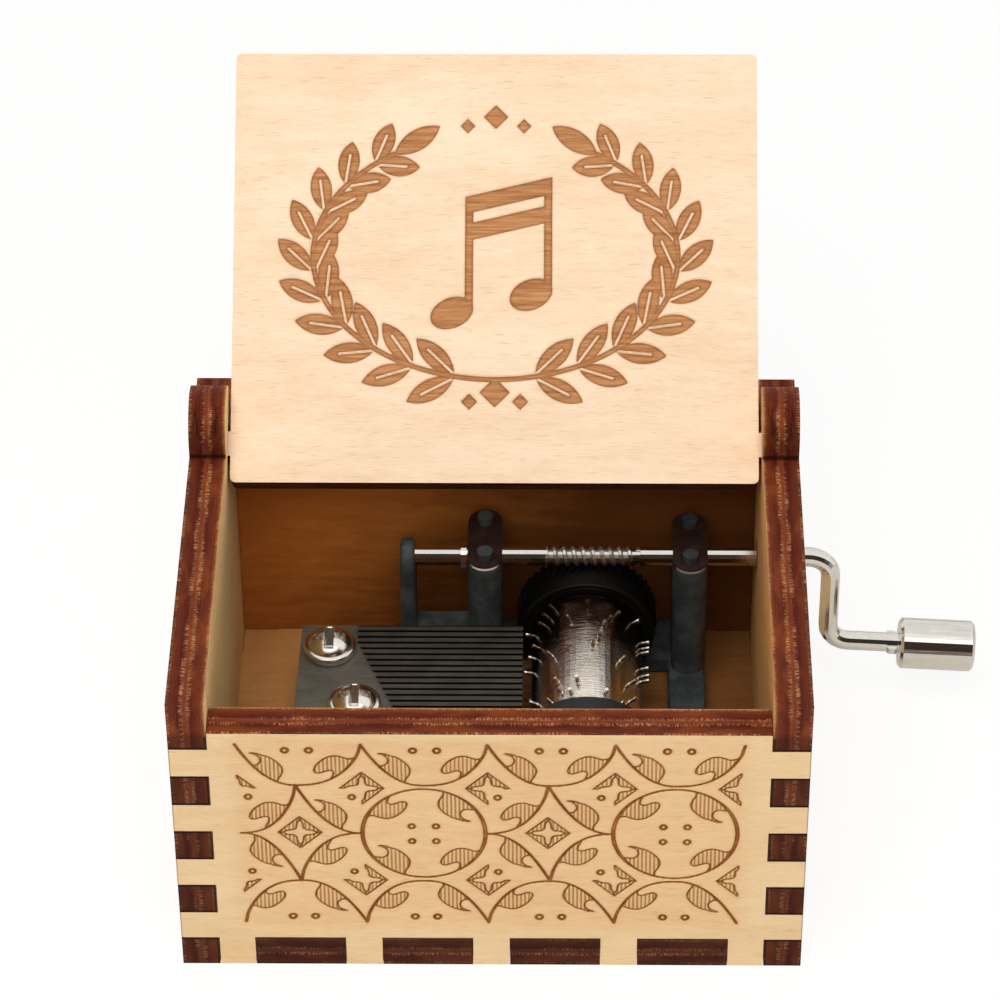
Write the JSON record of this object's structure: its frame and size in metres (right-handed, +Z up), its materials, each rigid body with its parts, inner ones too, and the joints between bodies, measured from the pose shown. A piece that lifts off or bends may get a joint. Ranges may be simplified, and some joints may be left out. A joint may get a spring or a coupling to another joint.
{
  "type": "hand-crank music box",
  "caption": "Music box: finger-jointed plywood case, lid on wooden lugs, and a movement with a steel comb and a pinned cylinder that a hand crank turns through a worm.",
  "frame": {"origin": "centre of the case's bottom face, on the surface that the box stands on", "axes": "+Z up; the front panel faces -Y; the crank comes out at +X, on the right seen from the front"},
  "size_m": [0.0843, 0.076, 0.0633],
  "materials": {
    "plywood": "bare birch plywood, laser cut, edges scorched dark red-brown",
    "cast_frame": "die-cast zinc alloy, dark blue-grey, matt",
    "comb_steel": "hardened steel, dark, ground along the teeth",
    "plate_steel": "stamped steel, dark, with bright edges",
    "nickel": "nickel plated, polished",
    "cylinder_metal": "dark bright-plated tube with bright pins",
    "arbor_steel": "drawn steel",
    "cap_brass": "turned brass",
    "black_nylon": "moulded black nylon",
    "screw_steel": "zinc plated"
  },
  "bodies": {
    "case": {"front_panel": "plywood", "back_panel": "plywood", "left_side_panel": "plywood", "right_side_panel": "plywood", "bottom_panel": "plywood", "movement_frame": "cast_frame", "comb": "comb_steel", "comb_screw_rear": "nickel", "comb_screw_front": "nickel", "shaft_plate_left": "plate_steel", "shaft_plate_right": "plate_steel", "frame_screw_left": "screw_steel", "frame_screw_rear": "screw_steel", "frame_screw_right": "screw_steel"},
    "lid": {"lid": "plywood"},
    "crank": {"crank_shaft": "nickel"},
    "knob": {"crank_knob": "nickel"},
    "cylinder": {"pinned_cylinder": "cylinder_metal", "cylinder_arbor": "arbor_steel", "cylinder_end_cap": "cap_brass", "worm_wheel": "black_nylon"}
  },
  "joints": [
    {"name": "lid_hinge", "type": "hinge", "parent": "case", "child": "lid", "pos_m": [0, 0.01645, 0.03467], "axis": [1, 0, 0], "range_deg": [0, 140.2]},
    {"name": "crank_spin", "type": "hinge", "parent": "case", "child": "crank", "pos_m": [0, 0.0154, 0.0204], "axis": [1, 0, 0], "continuous": true},
    {"name": "cylinder_spin", "type": "hinge", "parent": "case", "child": "cylinder", "pos_m": [0.0099, 0, 0.012], "axis": [0, 1, 0], "continuous": true},
    {"name": "knob_spin", "type": "hinge", "parent": "crank", "child": "knob", "pos_m": [0.04405, 0.0154, 0.008], "axis": [0.9981, 0, -0.061], "continuous": true}
  ],
  "couplings": [
    {"joint": "cylinder_spin", "follows": "crank_spin", "ratio": -0.021277}
  ]
}
